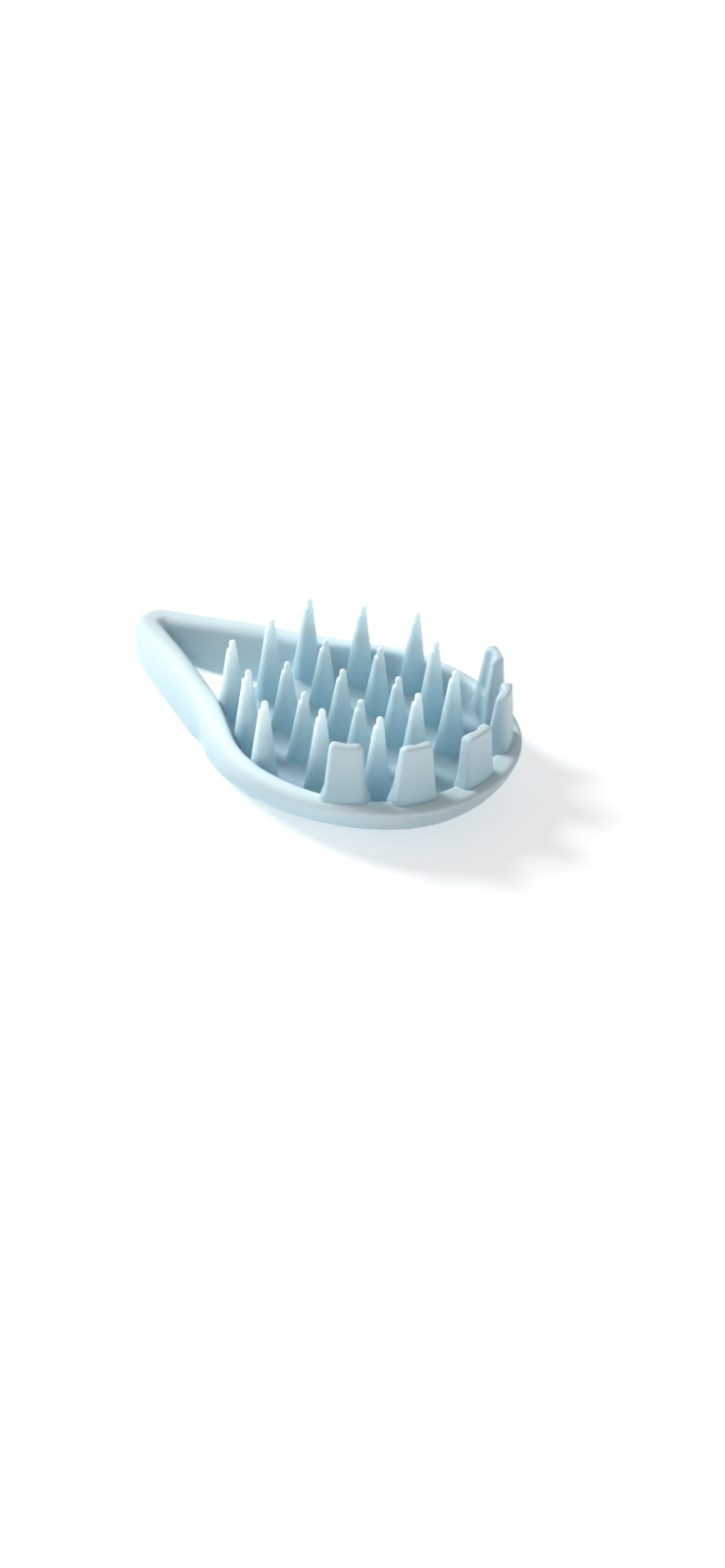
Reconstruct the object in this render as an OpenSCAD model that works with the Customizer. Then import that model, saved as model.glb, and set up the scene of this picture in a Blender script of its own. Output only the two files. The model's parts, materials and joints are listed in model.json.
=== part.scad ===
// Scalp massager brush: a soft, one-colour brush with a bowl-shaped head, a finger loop,
// nineteen cone bristles and five edge paddles. Millimetres, +Z up.
// The origin is on the flat back, under the middle bristle, and the finger loop points to -X.
// Each bristle and paddle bends at its root, so each is a solid of its own that turns there.

/* [Head] */
// Outer radius of the head's round sides
head_r = 36; // [35.5:0.5:38]
// How much longer than wide the head is
head_stretch = 7; // [5:0.5:9]
// Height of the rim above the flat back
rim_h = 13.5; // [13:0.5:16]
// Thickness of the wall at the head's sides
wall_t = 3.8; // [3.6:0.1:4.5]
// Width of the rim at the front, where the middle paddle stands
front_shelf = 6.8; // [6:0.1:8]
// Radius of the round between the wall and the flat back
bowl_round = 12; // [10:0.5:12]
// Thickness of the floor that carries the bristles
floor_t = 4.5; // [4.5:0.1:6]

/* [Finger loop] */
// Distance from the middle bristle to the end of the loop
loop_reach = 71; // [66:0.5:80]
// Outer radius of the loop's end
loop_end_r = 6.5; // [6:0.5:9]
// Thickness of the loop's band
band_t = 4.2; // [3:0.1:5]
// Half width of the loop at its waist
waist_half_w = 19.7; // [18:0.1:21]

/* [Bristles] */
// Distance between neighbouring bristles
pitch = 14; // [14:0.1:14.4]
// Height of the seven inner bristles above the floor
inner_bristle_h = 20.5; // [16:0.5:22]
// Height of the twelve outer bristles above the floor
outer_bristle_h = 24.6; // [20:0.1:26]
// Radius of a bristle's round root
root_r = 3; // [2.8:0.1:3]
// Radius of a bristle's nub tip
nub_r = 1; // [0.8:0.1:1.2]

/* [Paddles] */
// Height of the paddles above the rim
paddle_h = 15.2; // [12:0.1:18]
// Width of a paddle at its root
paddle_root_w = 10.2; // [9.5:0.1:11]
// Width of a paddle at its top
paddle_top_w = 7.8; // [6:0.1:9]
// Angle between neighbouring paddles
paddle_step = 28; // [24:1:30]
// Distance of the middle paddle from the rim's inner edge
paddle_set = 1.4; // [1:0.1:3]
// How much nearer to the inner edge each further paddle stands
paddle_drift = 0.7; // [0:0.1:0.7]

/* [Clearances] */
// Gap round the moving roots
root_gap = 0.1; // [0.05:0.01:0.2]

/* [Hidden] */
$fn = 96;
// the lattice is 3, 4, 5, 4 and 3 bristles across
ROWS = [3, 4, 5, 4, 3];
row_step = pitch * sqrt(3) / 2;
// centres of the head's rear and front arcs, outside and inside
rear_x = 5.5;
front_x = rear_x + head_stretch;
inner_r = head_r - wall_t;
inner_front_x = front_x + head_r - front_shelf - inner_r;
// the loop begins where the floor ends
floor_rear_x = -31.5;
loop_end_x = loop_end_r - loop_reach;
// the loop's sides bend a little at the waist
waist_x = -34;
waist_angle = 115;
head_angle = 118;
outer_waist = [waist_x, waist_half_w];
inner_waist = outer_waist - band_t * [cos(waist_angle), sin(waist_angle)];
// the head's rear corners have their centres inside the loop's waist
corner = outer_waist - (bowl_round + 0.5) * [cos(head_angle), sin(head_angle)];
rim_round = 1.2;
// a bristle's cone, between its root ball and its nub
cone_foot_r = 2.9;
cone_top_r = 1.3;
nub_h = 2.6;
mouth_r = 3.5;
mouth_h = 1;
// paddle: barrel root in a groove of the rim, wedge-shaped plate above it
barrel_r = 1.8;
paddle_foot_t = 3.4;
paddle_top_t = 2.4;
paddle_corner_r = 1.6;
paddle_centre_x = 7;

BODY_BLUE = [0.72, 0.85, 0.89];
PAD_BLUE = [0.60, 0.77, 0.82];
BRISTLE_BLUE = [0.66, 0.82, 0.87];
PADDLE_BLUE = [0.76, 0.86, 0.89];

// Plan positions of the bristles, row by row from the loop to the front
spots = [for (row = [0 : 4]) for (i = [0 : ROWS[row] - 1])
    [(row - 2) * row_step, (i - (ROWS[row] - 1) / 2) * pitch]];

function is_outer(spot) = norm(spot) > 1.5 * pitch;
function bristle_h(spot) = is_outer(spot) ? outer_bristle_h : inner_bristle_h;

// Distance from the paddles' centre to the rim's inner edge, along a paddle's angle
function inner_edge(angle) = let(x = inner_front_x - paddle_centre_x)
    x * cos(angle) + sqrt(inner_r * inner_r - pow(x * sin(angle), 2));

// Half an arc of the plan outline, centred on the X axis
function arc(x, r, from, to, steps) = [for (i = [0 : steps])
    let(angle = from + (to - from) * i / steps) [x + r * cos(angle), r * sin(angle)]];

// Where a line from a point touches an arc centred on the X axis
function touch_angle(x, r, point, side) =
    atan2(point.y, point.x - x) + side * acos(r / norm([point.x - x, point.y]));

// Plan outline from the loop's end, past its waist and round the head
function half_outline(waist, end_r, side_r, x_front) = concat(
    arc(loop_end_x, end_r, 180, touch_angle(loop_end_x, end_r, waist, 1), 10),
    [waist],
    arc(rear_x, side_r, touch_angle(rear_x, side_r, waist, -1), 90, 8),
    arc(x_front, side_r, 90, 0, 30));

module outline(waist, end_r, side_r, x_front) {
    half = half_outline(waist, end_r, side_r, x_front);
    polygon(concat(half, [for (i = [len(half) - 2 : -1 : 1]) [half[i].x, -half[i].y]]));
}

module outer_outline() {
    outline(outer_waist, loop_end_r, head_r, front_x);
}

// Plan outline of everything inside the rim and the loop
module inner_outline() {
    outline(inner_waist, loop_end_r - band_t, inner_r, inner_front_x);
}

// Half section of the head: flat back, round side and softened rim edge
module head_section(r) {
    difference() {
        square([r, rim_h]);
        difference() {
            translate([r - bowl_round, 0]) square(bowl_round);
            translate([r - bowl_round, bowl_round]) circle(bowl_round);
        }
        difference() {
            translate([r - rim_round, rim_h - rim_round]) square(rim_round);
            translate([r - rim_round, rim_h - rim_round]) circle(rim_round);
        }
    }
}

// The head as one rounded block: two round ends, and straight sides that run out to the loop
module head_solid() {
    hull() {
        for (x = [rear_x, front_x])
            translate([x, 0, 0]) rotate_extrude($fn = 60) head_section(head_r, $fn = 36);
        for (side = [-1, 1])
            translate([corner.x, side * corner.y, 0])
                rotate_extrude($fn = 36) head_section(bowl_round + 0.5, $fn = 36);
    }
}

// Everything behind the floor's rear edge
module behind_floor() {
    translate([floor_rear_x - 60, -50, -1]) cube([60, 100, rim_h + 2]);
}

module bowl() {
    color(BODY_BLUE)
        difference() {
            head_solid();
            translate([0, 0, -1]) linear_extrude(rim_h + 2) inner_outline();
            behind_floor();
            paddle_grooves();
        }
}

module finger_loop() {
    color(BODY_BLUE)
        intersection() {
            difference() {
                linear_extrude(rim_h) outer_outline();
                translate([0, 0, -1]) linear_extrude(rim_h + 2) inner_outline();
            }
            behind_floor();
        }
}

module bristle_pad() {
    color(PAD_BLUE)
        difference() {
            intersection() {
                head_solid();
                linear_extrude(floor_t) inner_outline();
            }
            behind_floor();
            for (spot = spots) bristle_socket(spot);
        }
}

// Round socket for a bristle's root, with a flared mouth
module bristle_socket(spot) {
    translate([spot.x, spot.y, floor_t]) {
        sphere(root_r + root_gap);
        translate([0, 0, -mouth_h]) cylinder(h = 2 * mouth_h, r1 = root_r - mouth_h / 2, r2 = mouth_r + mouth_h);
    }
}

// One bristle: ball root, tapering shaft and a rounded nub
module bristle(index) {
    spot = spots[index - 1];
    h = bristle_h(spot);
    color(BRISTLE_BLUE)
        translate([spot.x, spot.y, floor_t]) {
            sphere(root_r);
            cylinder(h = h - nub_h, r1 = cone_foot_r, r2 = cone_top_r);
            translate([0, 0, h - nub_h - 0.2]) cylinder(h = nub_h + 0.2 - nub_r, r = nub_r);
            translate([0, 0, h - nub_r]) sphere(nub_r);
        }
}

// Puts its children at a paddle's root, with +X pointing out from the head
module at_paddle(index) {
    steps_out = index - 3;
    angle = steps_out * paddle_step;
    reach = inner_edge(angle) + paddle_set - paddle_drift * abs(steps_out);
    translate([paddle_centre_x + reach * cos(angle), reach * sin(angle), rim_h])
        rotate([0, 0, angle]) children();
}

module paddle_grooves() {
    for (index = [1 : 5])
        at_paddle(index)
            rotate([90, 0, 0])
                cylinder(h = paddle_root_w + 2 * root_gap, r = barrel_r + root_gap, center = true);
}

// Front view of a paddle: a trapezoid with two round top corners
module paddle_front() {
    foot = paddle_root_w / 2;
    top = paddle_top_w / 2;
    corner_x = top - paddle_corner_r;
    corner_y = paddle_h - paddle_corner_r;
    polygon([[-foot, 0], [foot, 0], [top, corner_y], [corner_x, corner_y],
        [corner_x, paddle_h], [-corner_x, paddle_h], [-corner_x, corner_y], [-top, corner_y]]);
    for (side = [-1, 1]) translate([side * corner_x, corner_y]) circle(paddle_corner_r);
}

// Side view of a paddle: a wedge, thicker at the foot
module paddle_side() {
    foot = paddle_foot_t / 2;
    top = paddle_top_t / 2;
    polygon([[-foot, 0], [foot, 0], [top, paddle_h + 1], [-top, paddle_h + 1]]);
}

module paddle(index) {
    color(PADDLE_BLUE)
        at_paddle(index) {
            rotate([90, 0, 0]) cylinder(h = paddle_root_w, r = barrel_r, center = true);
            intersection() {
                rotate([90, 0, 90]) linear_extrude(paddle_foot_t * 2, center = true) paddle_front();
                rotate([90, 0, 0]) linear_extrude(paddle_root_w + 2, center = true) paddle_side();
            }
        }
}

bowl();
finger_loop();
bristle_pad();
bristle(1);  // bristle_1
bristle(2);  // bristle_2
bristle(3);  // bristle_3
bristle(4);  // bristle_4
bristle(5);  // bristle_5
bristle(6);  // bristle_6
bristle(7);  // bristle_7
bristle(8);  // bristle_8
bristle(9);  // bristle_9
bristle(10);  // bristle_10
bristle(11);  // bristle_11
bristle(12);  // bristle_12
bristle(13);  // bristle_13
bristle(14);  // bristle_14
bristle(15);  // bristle_15
bristle(16);  // bristle_16
bristle(17);  // bristle_17
bristle(18);  // bristle_18
bristle(19);  // bristle_19
paddle(1);  // paddle_1
paddle(2);  // paddle_2
paddle(3);  // paddle_3
paddle(4);  // paddle_4
paddle(5);  // paddle_5
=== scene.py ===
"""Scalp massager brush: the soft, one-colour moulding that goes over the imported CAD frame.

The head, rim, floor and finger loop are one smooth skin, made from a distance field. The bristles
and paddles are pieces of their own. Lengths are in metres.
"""
import json
import math

import bpy
import numpy as np
from mathutils import Matrix, Vector


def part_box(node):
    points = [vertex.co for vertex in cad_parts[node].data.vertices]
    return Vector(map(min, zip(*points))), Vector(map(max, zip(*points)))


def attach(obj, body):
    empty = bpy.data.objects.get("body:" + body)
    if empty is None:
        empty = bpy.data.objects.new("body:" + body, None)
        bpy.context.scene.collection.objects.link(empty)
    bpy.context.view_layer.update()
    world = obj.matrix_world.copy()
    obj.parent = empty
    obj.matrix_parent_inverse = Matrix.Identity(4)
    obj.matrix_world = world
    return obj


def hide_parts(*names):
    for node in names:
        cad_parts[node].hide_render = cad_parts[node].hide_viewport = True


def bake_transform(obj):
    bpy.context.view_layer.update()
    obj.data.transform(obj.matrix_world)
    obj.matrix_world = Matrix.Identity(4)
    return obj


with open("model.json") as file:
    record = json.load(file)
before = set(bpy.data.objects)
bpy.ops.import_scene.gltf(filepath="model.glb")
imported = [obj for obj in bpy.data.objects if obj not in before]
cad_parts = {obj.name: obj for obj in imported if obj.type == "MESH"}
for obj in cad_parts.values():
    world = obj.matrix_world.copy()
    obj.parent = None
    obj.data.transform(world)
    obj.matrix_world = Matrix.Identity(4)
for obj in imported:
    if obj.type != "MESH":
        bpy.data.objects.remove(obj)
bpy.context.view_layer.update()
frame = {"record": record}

MM = 0.001
ROOT_BODY = "brush_body"

# ---------------------------------------------------------------- sizes, read from the frame
TIP_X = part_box("finger_loop")[0][0]
FRONT_X, HALF_WIDTH, RIM_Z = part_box("bowl")[1]
INNER_FRONT_X, INNER_HALF_WIDTH, FLOOR_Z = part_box("bristle_pad")[1]
HINGES = {joint["child"]: joint for joint in frame["record"]["behaviour"]["joints"]}
BRISTLE_COUNT = sum(child.startswith("bristle") for child in HINGES)
PADDLE_COUNT = sum(child.startswith("paddle") for child in HINGES)


# ---------------------------------------------------------------- distance field tools
TINY_EDGE = 1e-18            # keeps an edge without length from dividing by zero
TINY_SLOPE = 1e-12           # and so for a field without slope
RELAX_PASSES = 4
DROP_STEPS = 2


def ease(value, start, end):
    """Goes smoothly from 0 to 1 while the value goes from start to end."""
    t = np.clip((value - start) / (end - start), 0, 1)
    return t * t * (3 - 2 * t)


def grade(value, start, end, first, last):
    """Goes smoothly from first to last while the value goes from start to end."""
    return first + (last - first) * ease(value, start, end)


def both(a, b, r):
    """Intersection of two fields with a round edge of radius r."""
    return np.minimum(np.maximum(a, b), -r) + np.hypot(np.maximum(a + r, 0), np.maximum(b + r, 0))


def either(a, b, r):
    """Union of two fields with a smooth fillet of size r."""
    h = np.maximum(r - np.abs(a - b), 0) / r
    return np.minimum(a, b) - h * h * r / 4


def sample(field, points):
    """Trilinear value of a field at points given in cells."""
    cell = np.clip(np.floor(points).astype(int), 0, np.array(field.shape) - 2)
    t = points - cell
    value = 0
    for i in (0, 1):
        for j in (0, 1):
            for k in (0, 1):
                weight = (t[:, 0] if i else 1 - t[:, 0]) * (t[:, 1] if j else 1 - t[:, 1])
                weight = weight * (t[:, 2] if k else 1 - t[:, 2])
                value = value + weight * field[cell[:, 0] + i, cell[:, 1] + j, cell[:, 2] + k]
    return value


def relax(points, faces, field):
    """Evens a net out and drops it back onto the surface, a few times over."""
    gradient = [np.ascontiguousarray(g) for g in np.gradient(field)]
    for _ in range(RELAX_PASSES):
        total = np.zeros_like(points)
        count = np.zeros(len(points))
        for corner in range(4):
            a = faces[:, corner]
            b = faces[:, (corner + 1) % 4]
            np.add.at(total, a, points[b])
            np.add.at(total, b, points[a])
            np.add.at(count, a, 1)
            np.add.at(count, b, 1)
        points = points * 0.5 + total / count[:, None] * 0.5
        for _ in range(DROP_STEPS):
            slope = np.column_stack([sample(axis, points) for axis in gradient])
            steep = np.maximum((slope * slope).sum(1), TINY_SLOPE)
            points = points - slope * (sample(field, points) / steep)[:, None]
    return points


def net_points(field):
    """One vertex in each cell that the surface crosses, and the vertex's number for each cell."""
    shape = np.array(field.shape) - 1
    total = np.zeros((*shape, 3))
    count = np.zeros(shape)
    corner = np.stack(np.meshgrid(*[np.arange(n) for n in shape], indexing="ij"), -1).astype(float)
    for axis in range(3):
        low = [slice(None)] * 3
        high = [slice(None)] * 3
        low[axis] = slice(0, -1)
        high[axis] = slice(1, None)
        a = field[tuple(low)]
        b = field[tuple(high)]
        cross = (a < 0) != (b < 0)
        t = np.where(cross, a / np.where(cross, a - b, 1), 0)
        others = [k for k in range(3) if k != axis]
        for i in (0, 1):
            for j in (0, 1):
                cut = [slice(None)] * 3
                cut[others[0]] = slice(i, i + shape[others[0]])
                cut[others[1]] = slice(j, j + shape[others[1]])
                crossed = cross[tuple(cut)]
                place = corner.copy()
                place[..., axis] += t[tuple(cut)]
                place[..., others[0]] += i
                place[..., others[1]] += j
                total += place * crossed[..., None]
                count += crossed
    used = count > 0
    index = np.full(shape, -1)
    index[used] = np.arange(used.sum())
    return total[used] / count[used][:, None], index


def net_faces(field, index):
    """One quad across each cell edge that the surface crosses, facing outward."""
    solid = field < 0
    faces = []
    for axis in range(3):
        u, v = [(1, 2), (2, 0), (0, 1)][axis]
        low = [slice(1, -1)] * 3
        high = [slice(1, -1)] * 3
        low[axis] = slice(0, -1)
        high[axis] = slice(1, None)
        a = solid[tuple(low)]
        b = solid[tuple(high)]
        for flip, cross in ((False, a & ~b), (True, ~a & b)):
            at = np.argwhere(cross)
            at[:, u] += 1
            at[:, v] += 1
            ring = []
            for du, dv in ((-1, -1), (0, -1), (0, 0), (-1, 0)):
                cell = at.copy()
                cell[:, u] += du
                cell[:, v] += dv
                ring.append(index[cell[:, 0], cell[:, 1], cell[:, 2]])
            quads = np.column_stack(ring)
            faces.append(quads[:, ::-1] if flip else quads)
    return np.vstack(faces)


def skin(field, origin, cell):
    """Even net of quads over the surface where a field is zero."""
    points, index = net_points(field)
    faces = net_faces(field, index)
    return np.array(origin) + relax(points, faces, field) * cell, faces


def piece(name, points, faces, material):
    mesh = bpy.data.meshes.new(name)
    mesh.from_pydata([tuple(p) for p in points], [], [tuple(int(i) for i in f) for f in faces])
    mesh.validate()
    mesh.shade_smooth()
    mesh.materials.append(material)
    obj = bpy.data.objects.new(name, mesh)
    bpy.context.collection.objects.link(obj)
    return obj


# ---------------------------------------------------------------- materials
# Linear colours of the silicone, from deep in the bowl up to the top of the rim: painted shade deep
# in the bowl and low on the walls, painted light and a painted highlight towards the top of the rim
DEEP_SHADE = (0.37, 0.58, 0.66)
MID = (0.47, 0.64, 0.71)
PALE_LIT = (0.58, 0.72, 0.78)
CREST_HIGHLIGHT = (0.76, 0.94, 0.98)
# The bristles are thinner, so more light comes through them: their colours hold painted light, paler
# towards the tips, and painted shade, deeper near the roots
BRISTLE_DEEP_SHADE = (0.37, 0.60, 0.69)
BRISTLE_MID = (0.64, 0.83, 0.90)
BRISTLE_PALE_LIT = (0.82, 0.95, 0.97)
BRISTLE_CREST_LIT = (0.90, 1.0, 1.0)
BAND_LIT_TINT = (0.66, 0.78, 0.82)    # painted light: paler tint of the thin band towards the loop's end
GLOW = (0.5, 0.83, 1)        # colour of a painted glow, standing in for light that comes through the thin tips

RAMP_MID = 0.5               # where along the height the middle colour and the pale, painted light colour stand
RAMP_PALE_LIT = 0.84
LOOK_TOP_Z = 30 * MM         # height at which painted light makes bristles and paddles palest
BODY_SCATTER = 0.22
BRISTLE_SCATTER = 0.35
SCATTER_RADIUS = (1.1, 0.8, 0.7)
SCATTER_SCALE = 2.5 * MM
SILICONE_IOR = 1.41
CLOUD_SCALE = 60             # slow changes of tone and roughness
CLOUD_TONE = (0.96, 1.03)
CLOUD_ROUGHNESS = (0.44, 0.58)
GRAIN_SCALE = 2600           # fine texture of the mould
GRAIN_DEPTH = 0.1 * MM
# stretch along X over which the band's painted light tint grows
BAND_LIGHT_X = (-20 * MM, -60 * MM)
# stretch along X over which the painted shade at the head's front grows
FRONT_SHADING_X = (20 * MM, FRONT_X)
# heights over which the painted glow at the tips grows
TIP_GLOW_Z = (20 * MM, 30 * MM)


def map_range(tree, source, start, end, first, last):
    """Output of a Map Range node that is fed by a socket."""
    node = tree.nodes.new("ShaderNodeMapRange")
    node.inputs["From Min"].default_value = start
    node.inputs["From Max"].default_value = end
    node.inputs["To Min"].default_value = first
    node.inputs["To Max"].default_value = last
    tree.links.new(source, node.inputs["Value"])
    return node.outputs["Result"]


def noise(tree, place, scale, detail):
    node = tree.nodes.new("ShaderNodeTexNoise")
    node.inputs["Scale"].default_value = scale
    node.inputs["Detail"].default_value = detail
    tree.links.new(place, node.inputs["Vector"])
    return node.outputs["Fac"]


def height_colour(tree, height, colours):
    """Colour ramp over the height, from painted shade low down to painted light and a painted
    highlight at the crest.
    """
    deep_shade, mid, pale_lit, crest_highlight = colours
    ramp = tree.nodes.new("ShaderNodeValToRGB")
    elements = ramp.color_ramp.elements
    elements[0].color = (*deep_shade, 1)
    elements[1].color = (*crest_highlight, 1)
    for position, colour in ((RAMP_MID, mid), (RAMP_PALE_LIT, pale_lit)):
        elements.new(position).color = (*colour, 1)
    tree.links.new(height, ramp.inputs["Fac"])
    return ramp.outputs["Color"]


def multiply(tree, a, b):
    node = tree.nodes.new("ShaderNodeMath")
    node.operation = "MULTIPLY"
    tree.links.new(a, node.inputs[0])
    tree.links.new(b, node.inputs[1])
    return node.outputs["Value"]


def toned(tree, colour, tone_and_shade):
    """Colour multiplied by a tone, which can carry painted shade."""
    node = tree.nodes.new("ShaderNodeMix")
    node.data_type = "RGBA"
    node.blend_type = "MULTIPLY"
    node.inputs["Factor"].default_value = 1
    tree.links.new(colour, node.inputs["A"])
    tree.links.new(tone_and_shade, node.inputs["B"])
    return node.outputs["Result"]


def tinted(tree, colour, share, tint):
    """Colour mixed with a share of a tint."""
    node = tree.nodes.new("ShaderNodeMix")
    node.data_type = "RGBA"
    node.inputs["B"].default_value = (*tint, 1)
    tree.links.new(share, node.inputs["Factor"])
    tree.links.new(colour, node.inputs["A"])
    return node.outputs["Result"]


def silicone(name, heights, colours, scatter, band_light=0, front_shading=1, tip_glow=0):
    """Matt, slightly translucent silicone with light and shade painted into its colour: painted light
    makes it paler where it is thin and high, painted shade deeper near its root.

    The last three arguments are the share of the band's painted light tint at the loop's end, the
    painted shade at the head's front (above 1 it paints light there instead), and the strength of a
    painted glow that stands in for light coming through the highest tips.
    """
    mat = bpy.data.materials.new(name)
    mat.use_nodes = True
    tree = mat.node_tree
    shader = tree.nodes["Principled BSDF"]
    shader.inputs["Subsurface Weight"].default_value = scatter
    shader.inputs["Subsurface Radius"].default_value = SCATTER_RADIUS
    shader.inputs["Subsurface Scale"].default_value = SCATTER_SCALE
    shader.inputs["IOR"].default_value = SILICONE_IOR
    shader.inputs["Specular IOR Level"].default_value = 0.35
    shader.inputs["Sheen Weight"].default_value = 0.12
    shader.inputs["Sheen Roughness"].default_value = 0.5

    place = tree.nodes.new("ShaderNodeTexCoord").outputs["Object"]
    split = tree.nodes.new("ShaderNodeSeparateXYZ")
    tree.links.new(place, split.inputs[0])
    cloud = noise(tree, place, CLOUD_SCALE, 3)
    grain = noise(tree, place, GRAIN_SCALE, 2)

    tone_and_shade = map_range(tree, cloud, 0, 1, *CLOUD_TONE)
    # painted shade: the tone darkens towards the head's front; above 1 it paints light there instead
    if front_shading != 1:
        tone_and_shade = multiply(tree, tone_and_shade, map_range(tree, split.outputs["X"], *FRONT_SHADING_X, 1, front_shading))
    # painted shade low down and painted light high up, along the height
    colour = height_colour(tree, map_range(tree, split.outputs["Z"], *heights, 0, 1), colours)
    colour = toned(tree, colour, tone_and_shade)
    # painted light: the band is paler towards the loop's end
    if band_light:
        share = map_range(tree, split.outputs["X"], *BAND_LIGHT_X, 0, band_light)
        colour = tinted(tree, colour, share, BAND_LIT_TINT)
    tree.links.new(colour, shader.inputs["Base Color"])
    tree.links.new(map_range(tree, cloud, 0, 1, *CLOUD_ROUGHNESS), shader.inputs["Roughness"])

    # painted glow, standing in for light that comes through the highest tips
    if tip_glow:
        shader.inputs["Emission Color"].default_value = (*GLOW, 1)
        strength = map_range(tree, split.outputs["Z"], *TIP_GLOW_Z, 0, tip_glow)
        tree.links.new(strength, shader.inputs["Emission Strength"])

    bump = tree.nodes.new("ShaderNodeBump")
    bump.inputs["Strength"].default_value = 0.08
    bump.inputs["Distance"].default_value = GRAIN_DEPTH
    tree.links.new(grain, bump.inputs["Height"])
    tree.links.new(bump.outputs["Normal"], shader.inputs["Normal"])
    return mat


# The body: painted light along the band and painted shade at the head's front
body_mat = silicone(
    "body_silicone", (0, RIM_Z), (DEEP_SHADE, MID, PALE_LIT, CREST_HIGHLIGHT), BODY_SCATTER,
    band_light=0.5, front_shading=0.72)
# The bristles: a painted glow at the tips
bristle_mat = silicone(
    "bristle_silicone", (FLOOR_Z, LOOK_TOP_Z),
    (BRISTLE_DEEP_SHADE, BRISTLE_MID, BRISTLE_PALE_LIT, BRISTLE_CREST_LIT), BRISTLE_SCATTER, tip_glow=0.32)
# The paddles: a little painted light at the front and a faint painted glow at the tips
paddle_mat = silicone(
    "paddle_silicone", (FLOOR_Z, LOOK_TOP_Z), (DEEP_SHADE, MID, PALE_LIT, PALE_LIT), BODY_SCATTER,
    front_shading=1.05, tip_glow=0.03)


# ---------------------------------------------------------------- plan outline
HEAD_X = 5.5 * MM            # centre of the head's rear arc, and of the oval in front of it
FULLNESS = 2.15              # exponent of that oval; 2 would be a plain ellipse
TIP_R = 6.5 * MM             # outer radius of the loop's end
WAIST = (-34 * MM, 19.6 * MM)
INNER_TIP_X = -63.8 * MM     # narrow end of the loop's opening, and its radius
INNER_TIP_R = 1.3 * MM
INNER_WAIST = (-26 * MM, 17.6 * MM)
OUTLINE_STEP = 0.5 * MM
ARC_POINTS = 30
FRONT_POINTS = 80
SOFTENING_PASSES = 60
CRISP_LENGTH = 12 * MM       # the loop's end keeps its own curve over this length,
CRISP_FADE = 6 * MM          # and the softened outline takes over along this one


def touch_angle(x, r, point, side):
    """Angle at which a line from a point touches an arc centred on the X axis."""
    dx = point[0] - x
    dy = point[1]
    return math.atan2(dy, dx) + side * math.acos(r / math.hypot(dx, dy))


def arc(x, rx, ry, start, end, count, fullness=2):
    """Points of an oval centred on the X axis; above 2 it is fuller than an ellipse."""
    t = np.linspace(start, end, count)
    cos, sin = (np.sign(v) * np.abs(v) ** (2 / fullness) for v in (np.cos(t), np.sin(t)))
    return np.column_stack([x + rx * cos, ry * sin])


def resample(points, step):
    """The same line with points at even distances."""
    length = np.concatenate([[0], np.cumsum(np.hypot(*np.diff(points, axis=0).T))])
    at = np.linspace(0, length[-1], int(length[-1] / step) + 1)
    return np.column_stack([np.interp(at, length, points[:, k]) for k in range(2)])


def outline(tip_end, tip_r, waist, half_width, front_x):
    """Closed plan outline: round loop end, waist, round head drawn out to the front."""
    tip_x = tip_end + tip_r
    band_start = touch_angle(tip_x, tip_r, waist, 1)
    head_start = touch_angle(HEAD_X, half_width, waist, -1)
    half = np.vstack([
        arc(tip_x, tip_r, tip_r, math.pi, band_start, ARC_POINTS),
        [waist],
        arc(HEAD_X, half_width, half_width, head_start, math.pi / 2, ARC_POINTS),
        arc(HEAD_X, front_x - HEAD_X, half_width, math.pi / 2, 0, FRONT_POINTS, FULLNESS)])
    half = resample(half, OUTLINE_STEP)
    soft = half.copy()
    for _ in range(SOFTENING_PASSES):
        soft[1:-1] = soft[1:-1] / 2 + (soft[:-2] + soft[2:]) / 4
    share = np.clip((half[:, :1] - (TIP_X + CRISP_LENGTH)) / CRISP_FADE, 0, 1)
    half = half * (1 - share) + soft * share
    return np.vstack([half, half[-2:0:-1] * [1, -1]])


def plan_distance(loop, x, y):
    """Signed distance to a closed outline on a plan grid, negative inside."""
    px, py = np.meshgrid(x, y, indexing="ij")
    best = np.full(px.shape, np.inf)
    inside = np.zeros(px.shape, bool)
    for a, b in zip(loop, np.roll(loop, -1, axis=0)):
        ex, ey = b - a
        t = np.clip(((px - a[0]) * ex + (py - a[1]) * ey) / (ex * ex + ey * ey + TINY_EDGE), 0, 1)
        best = np.minimum(best, (px - a[0] - t * ex) ** 2 + (py - a[1] - t * ey) ** 2)
        crosses = (a[1] > py) != (b[1] > py)
        if a[1] != b[1]:
            inside ^= crosses & (px < a[0] + (py - a[1]) * ex / (b[1] - a[1]))
    return np.where(inside, -1, 1) * np.sqrt(best)


# ---------------------------------------------------------------- head, rim, floor and loop
BODY_CELL = 0.5 * MM
BODY_MARGIN = 2 * MM

# Stretches along X over which the section changes
HEAD = (-34 * MM, -20 * MM)
FRONT = (0, FRONT_X)
TIP_RISE = (-68 * MM, -40 * MM)
BAND_FLARE_START = (TIP_X, -60 * MM)
BAND_FLARE_END = (-34 * MM, -24 * MM)
CORNER_START = (-28 * MM, -18 * MM)
CORNER_END = (-14 * MM, 2 * MM)
TUCK_START = (-5 * MM, 25 * MM)
TUCK_END = (30 * MM, 46 * MM)
LEAN_START = (-66 * MM, -44 * MM)
UNDERSIDE = (-38 * MM, 4 * MM)

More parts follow.
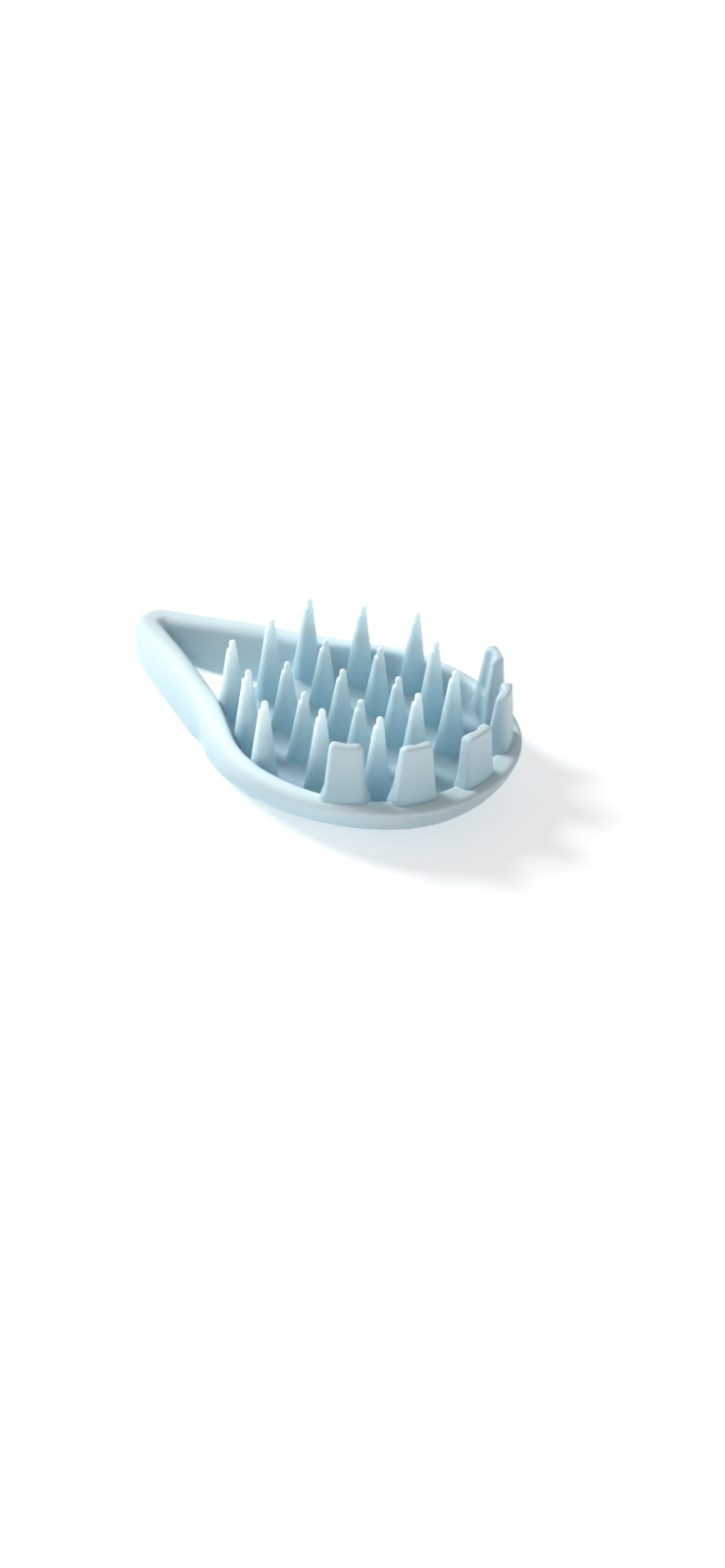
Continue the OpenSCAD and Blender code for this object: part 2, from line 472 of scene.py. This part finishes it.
TIP_DROP = 1.6 * MM          # how much lower the loop's end is than the rim
BAND_FLARE = 1.4 * MM        # how far the outside leans out at the bottom along the band,
CORNER_FLARE = 1.7 * MM      # at the head's rear corner,
WALL_TUCK = 2.2 * MM         # and how far it leans in round the head
FRONT_TUCK = 0.25            # share of the tuck that is left at the very front
TIP_LEAN = 1.5 * MM          # how far the inside leans in at the bottom, at the loop's end,
BAND_LEAN = 4.5 * MM         # along the band
HEAD_LEAN = 2 * MM           # and in the head
BAND_LOWER_R = 2 * MM        # radius of the outer lower edge along the band
HEAD_LOWER_R = 11 * MM       # and in the middle of the head
FRONT_LOWER_R = 5.5 * MM     # what the front adds to it
BAND_UPPER_R = 3 * MM
FRONT_UPPER_R = 1.9 * MM
BAND_INNER_R = 2.3 * MM      # radius of the inner upper edge
HEAD_INNER_R = 1.2 * MM
LOWER_INNER_R = 1.2 * MM
FLOOR_END_X = -32.5 * MM     # where the floor ends, on the brush's middle line
FLOOR_END_CURVE = 24         # how fast that edge runs back towards the sides, per metre
FLOOR_EDGE_R = 1.5 * MM
FLOOR_FILLET = 2.4 * MM
MOUND_FILLET = 2.6 * MM      # fillet round a bristle's foot


def outer_field(plan, top, px, pz):
    """Outside of the moulding: flared along the band, tucked in under the head."""
    low = np.clip(1 - pz / RIM_Z, 0, 1)
    band = BAND_FLARE * ease(px, *BAND_FLARE_START) * (1 - ease(px, *BAND_FLARE_END))
    corner = CORNER_FLARE * ease(px, *CORNER_START) * (1 - ease(px, *CORNER_END))
    tuck = WALL_TUCK * ease(px, *TUCK_START) * grade(px, *TUCK_END, 1, FRONT_TUCK)
    side = plan - (band + corner - tuck) * low
    lower_r = grade(px, *UNDERSIDE, BAND_LOWER_R, HEAD_LOWER_R) + grade(px, *FRONT, 0, FRONT_LOWER_R)
    upper_r = grade(px, *FRONT, BAND_UPPER_R, FRONT_UPPER_R)
    return np.maximum(both(side, top, upper_r), both(side, -pz, lower_r))


def inner_field(plan, top, px, py, pz):
    """What stands inside the outside: wall, floor and the feet of the bristles."""
    low = np.clip(1 - pz / RIM_Z, 0, 1)
    lean = grade(px, *LEAN_START, TIP_LEAN, BAND_LEAN) + grade(px, *HEAD, 0, HEAD_LEAN - BAND_LEAN)
    floor = both(FLOOR_END_X - FLOOR_END_CURVE * py ** 2 - px, pz - FLOOR_Z, FLOOR_EDGE_R)
    solid = either(-plan - lean * low, floor, FLOOR_FILLET)
    for index in range(1, BRISTLE_COUNT + 1):
        solid = either(solid, bristle_mound(index, px, py, pz), MOUND_FILLET)
    upper_r = grade(px, *HEAD, BAND_INNER_R, HEAD_INNER_R)
    return np.maximum(both(solid, top, upper_r), both(solid, -pz, LOWER_INNER_R))


def make_body():
    x = np.arange(TIP_X - BODY_MARGIN, FRONT_X + BODY_MARGIN, BODY_CELL)
    y = np.arange(-HALF_WIDTH - BODY_MARGIN, HALF_WIDTH + BODY_MARGIN, BODY_CELL)
    z = np.arange(-BODY_MARGIN, RIM_Z + BODY_MARGIN, BODY_CELL)
    px, py, pz = np.meshgrid(x, y, z, indexing="ij", sparse=True)
    outer = outline(TIP_X, TIP_R, WAIST, HALF_WIDTH, FRONT_X)
    inner = outline(INNER_TIP_X, INNER_TIP_R, INNER_WAIST, INNER_HALF_WIDTH, INNER_FRONT_X)
    outer_plan = plan_distance(outer, x, y)[..., None]
    inner_plan = plan_distance(inner, x, y)[..., None]
    top = pz - RIM_Z + grade(px, *TIP_RISE, TIP_DROP, 0)
    field = np.maximum(outer_field(outer_plan, top, px, pz), inner_field(inner_plan, top, px, py, pz))
    points, faces = skin(field, (x[0], y[0], z[0]), BODY_CELL)
    obj = piece("silicone_body", points, faces, body_mat)
    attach(obj, ROOT_BODY)
    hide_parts("bowl", "finger_loop", "bristle_pad")


# ---------------------------------------------------------------- bristles
FOOT_R = 3.95 * MM           # radius of a bristle's cone at the floor
SHOULDER_R = 1.3 * MM        # and where its nub begins
SHOULDER_H = 1.1 * MM        # height over which the cone narrows to the nub
SHOULDER_START = 0.1 * MM    # how far below the cone's top the lean starts to straighten
NUB_R = 0.85 * MM
NUB_H = 3.1 * MM
LEAN = -0.45 * MM            # how far the cone's foot lies off its nub, towards the loop
TOP_LEAN = 0.55              # share of that which is left at the top
CONE_BURIED = 0.08           # share of the cone's height that is hidden under the floor
CONE_RINGS = 16
SHOULDER_RINGS = 7
NUB_RINGS = 8
BRISTLE_SIDES = 40
MOUND_INSET = 0.15 * MM      # how far the body's mound stays inside the bristle's skin
MOUND_H = 4 * MM
MOUND_EDGE_R = 0.5 * MM


def cone_height(index):
    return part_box(f"bristle_{index}")[1][2] - FLOOR_Z - NUB_H


def bristle_mound(index, px, py, pz):
    """Field of the lowest part of a bristle's cone, a little inside its skin."""
    x, y, _ = HINGES[f"bristle_{index}_body"]["pos_m"]
    up = (pz - FLOOR_Z) / cone_height(index)
    radius = FOOT_R + (SHOULDER_R - FOOT_R) * up - MOUND_INSET
    return both(np.hypot(px - x - LEAN, py - y) - radius, pz - FLOOR_Z - MOUND_H, MOUND_EDGE_R)


def bristle_rings(height, cone_top):
    """Height and radius of each ring, from under the floor up the cone and over the nub."""
    rings = []
    for t in np.linspace(-CONE_BURIED, 1, CONE_RINGS):
        rings.append((cone_top * t, FOOT_R + (SHOULDER_R - FOOT_R) * t))
    for t in np.linspace(0, 1, SHOULDER_RINGS)[1:]:
        rings.append((cone_top + SHOULDER_H * t, grade(t, 0, 1, SHOULDER_R, NUB_R)))
    for angle in np.linspace(0, math.pi / 2, NUB_RINGS)[:-1]:
        rings.append((height - NUB_R + NUB_R * math.sin(angle), NUB_R * math.cos(angle)))
    return rings


def bristle_faces(rings):
    """Quads between the rings, a fan over the tip and one face under the foot."""
    faces = []
    for ring in range(rings - 1):
        for side in range(BRISTLE_SIDES):
            a = ring * BRISTLE_SIDES + side
            b = ring * BRISTLE_SIDES + (side + 1) % BRISTLE_SIDES
            faces.append((a, b, b + BRISTLE_SIDES, a + BRISTLE_SIDES))
    last = (rings - 1) * BRISTLE_SIDES
    tip = rings * BRISTLE_SIDES
    faces += [(last + k, last + (k + 1) % BRISTLE_SIDES, tip) for k in range(BRISTLE_SIDES)]
    faces.append(tuple(range(BRISTLE_SIDES - 1, -1, -1)))
    return faces


def make_bristle(index):
    node = f"bristle_{index}"
    body = f"{node}_body"
    x, y, _ = HINGES[body]["pos_m"]
    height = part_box(node)[1][2] - FLOOR_Z
    cone_top = cone_height(index)
    rings = bristle_rings(height, cone_top)
    turn = np.linspace(0, 2 * math.pi, BRISTLE_SIDES, endpoint=False)
    points = []
    for up, r in rings:
        share = TOP_LEAN + (1 - TOP_LEAN) * (1 - up / height)
        lean = LEAN * share * (1 - ease(up, cone_top - SHOULDER_START, cone_top + SHOULDER_H))
        points += [(x + lean + r * math.cos(a), y + r * math.sin(a), FLOOR_Z + up) for a in turn]
    points.append((x, y, FLOOR_Z + height))
    obj = piece(f"{node}_soft", points, bristle_faces(len(rings)), bristle_mat)
    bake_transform(obj)
    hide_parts(node)


# ---------------------------------------------------------------- paddles
# Half width at the foot and top, and how far the inner face stands in there
SIDE_PADDLE = (5.1 * MM, 3.9 * MM, 3.5 * MM, 1.7 * MM)
SIDE_RISE = 0.2 * MM         # height above the CAD paddle's top
MIDDLE_PADDLE = (4.9 * MM, 4.4 * MM, 2.5 * MM, 2.1 * MM)
MIDDLE_RISE = -1.6 * MM
FOOT_OUT = 2.5 * MM          # how far the outer face stands out at the foot
TOP_OUT = 1.3 * MM
FOOT_SPREAD = 0.8 * MM       # what the fillet adds to the half width at the foot
FOOT_SPREAD_Z = (-1 * MM, 3 * MM)
CROWN_R = 22 * MM            # plan radius of the outer face
OUTER_EDGE_R = 1.3 * MM
INNER_EDGE_R = 1.1 * MM
OUTER_TOP_R = 0.8 * MM
INNER_TOP_R = 1.5 * MM
TOP_CORNER_R = 1.3 * MM
FLUTE_R = 2.4 * MM           # hollow down the inner face
FLUTE_OFFSET = 1.3 * MM      # distance of its axis from that face
FLUTE_RUNOUT = 4 * MM        # how far the flute leaves the face at the foot
FLUTE_RUNOUT_Z = (0, 5 * MM)
FLUTE_EDGE_R = 0.5 * MM
PADDLE_BURIED = 3.5 * MM     # depth of the foot under the rim's top
SLOPE_LIMITS = (-0.3, 1)     # share of the height over which the faces keep sloping
PADDLE_CELL = 0.3 * MM
OUT_SPACE = (-6 * MM, 5 * MM)
ALONG_SPACE = (-7 * MM, 7 * MM)
LOW_SPACE = -7 * MM
TOP_SPACE = 1.5 * MM


def paddle_field(a, b, c, height, shape):
    """Wedge with round edges and a flute; a points out of the brush, b along the rim, c up."""
    foot_w, top_w, foot_in, top_in = shape
    up = np.clip(c / height, *SLOPE_LIMITS)
    half_w = foot_w + (top_w - foot_w) * up + grade(c, *FOOT_SPREAD_Z, FOOT_SPREAD, 0)
    face_in = foot_in + (top_in - foot_in) * up
    face_out = FOOT_OUT + (TOP_OUT - FOOT_OUT) * up - b * b / (2 * CROWN_R)
    outside = a - face_out
    inside = -face_in - a
    sides = np.abs(b) - half_w
    top = c - height
    plate = both(both(outside, sides, OUTER_EDGE_R), top, OUTER_TOP_R)
    plate = np.maximum(plate, both(both(inside, sides, INNER_EDGE_R), top, INNER_TOP_R))
    plate = np.maximum(plate, both(sides, top, TOP_CORNER_R))
    flute_a = a + face_in + FLUTE_OFFSET + grade(c, *FLUTE_RUNOUT_Z, FLUTE_RUNOUT, 0)
    plate = both(plate, FLUTE_R - np.hypot(flute_a, b), FLUTE_EDGE_R)
    return np.maximum(plate, -PADDLE_BURIED - c)


def make_paddle(index):
    node = f"paddle_{index}"
    body = f"{node}_body"
    hinge = HINGES[body]
    foot = Vector(hinge["pos_m"])
    along = Vector(hinge["axis"])
    out = Vector((along.y, -along.x, 0))
    middle = index == (PADDLE_COUNT + 1) // 2
    shape = MIDDLE_PADDLE if middle else SIDE_PADDLE
    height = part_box(node)[1][2] - RIM_Z + (MIDDLE_RISE if middle else SIDE_RISE)
    a = np.arange(*OUT_SPACE, PADDLE_CELL)
    b = np.arange(*ALONG_SPACE, PADDLE_CELL)
    c = np.arange(LOW_SPACE, height + TOP_SPACE, PADDLE_CELL)
    field = paddle_field(*np.meshgrid(a, b, c, indexing="ij", sparse=True), height, shape)
    points, faces = skin(field, (a[0], b[0], c[0]), PADDLE_CELL)
    points = [foot + out * p[0] + along * p[1] + Vector((0, 0, p[2])) for p in points]
    obj = piece(f"{node}_soft", points, faces, paddle_mat)
    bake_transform(obj)
    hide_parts(node)


make_body()
for number in range(1, BRISTLE_COUNT + 1):
    make_bristle(number)
for number in range(1, PADDLE_COUNT + 1):
    make_paddle(number)


# ---------------------------------------------------------------- floor, light and camera
GROUND_SIZE = 60
GROUND_Z = -0.2 * MM         # just under the brush
GROUND_GREY = 0.8
GROUND_GLOW = 0.45           # keeps the ground white
KEY_PLACE = (-0.9, -0.22, 0.75)
KEY_AIM = (0, 0, 0.01)
KEY_SIZE = 0.5
KEY_POWER = 12.5
SKY_STRENGTH = 0.42

AZIMUTH = math.radians(-40.33)
ELEVATION = math.radians(35.72)
ROLL = math.radians(2.09)
DISTANCE = 0.6
VIEW_HEIGHT = 395.84 * MM    # height that the frame takes in at that distance
SENSOR_HEIGHT = 36
AIM_RIGHT = 5.53 * MM        # where the camera aims, seen from the middle bristle's foot
AIM_DOWN = 7.95 * MM


def make_floor():
    bpy.ops.mesh.primitive_plane_add(size=GROUND_SIZE, location=(0, 0, GROUND_Z))
    floor = bpy.context.object
    floor.name = "floor"
    mat = bpy.data.materials.new("floor_white")
    mat.use_nodes = True
    shader = mat.node_tree.nodes["Principled BSDF"]
    shader.inputs["Base Color"].default_value = (GROUND_GREY, GROUND_GREY, GROUND_GREY, 1)
    shader.inputs["Roughness"].default_value = 0.9
    shader.inputs["Specular IOR Level"].default_value = 0.1
    shader.inputs["Emission Color"].default_value = (1, 1, 1, 1)
    shader.inputs["Emission Strength"].default_value = GROUND_GLOW
    floor.data.materials.append(mat)


def make_key_light():
    data = bpy.data.lights.new("key", "AREA")
    data.shape = "DISK"
    data.size = KEY_SIZE
    data.energy = KEY_POWER
    light = bpy.data.objects.new("key", data)
    light.location = KEY_PLACE
    light.rotation_euler = (Vector(KEY_AIM) - Vector(KEY_PLACE)).to_track_quat("-Z", "Y").to_euler()
    bpy.context.collection.objects.link(light)


def make_sky():
    world = bpy.data.worlds.new("studio")
    world.use_nodes = True
    background = world.node_tree.nodes["Background"]
    background.inputs["Color"].default_value = (1, 1, 1, 1)
    background.inputs["Strength"].default_value = SKY_STRENGTH
    bpy.context.scene.world = world
    bpy.context.scene.view_settings.view_transform = "Standard"


def make_camera():
    right = Vector((math.cos(AZIMUTH), -math.sin(AZIMUTH), 0))
    away = Vector((math.sin(AZIMUTH), math.cos(AZIMUTH), 0))
    forward = away * math.cos(ELEVATION) - Vector((0, 0, math.sin(ELEVATION)))
    up = away * math.sin(ELEVATION) + Vector((0, 0, math.cos(ELEVATION)))
    side = right * math.cos(ROLL) + up * math.sin(ROLL)
    head = up * math.cos(ROLL) - right * math.sin(ROLL)
    data = bpy.data.cameras.new("camera")
    data.sensor_fit = "VERTICAL"
    data.sensor_height = SENSOR_HEIGHT
    data.lens = SENSOR_HEIGHT * DISTANCE / VIEW_HEIGHT
    data.clip_start = 0.01
    camera = bpy.data.objects.new("camera", data)
    place = side * AIM_RIGHT - head * AIM_DOWN - forward * DISTANCE
    turn = Matrix((side, head, -forward)).transposed()
    camera.matrix_world = Matrix.Translation(place) @ turn.to_4x4()
    bpy.context.collection.objects.link(camera)
    bpy.context.scene.camera = camera


make_floor()
make_key_light()
make_sky()
make_camera()
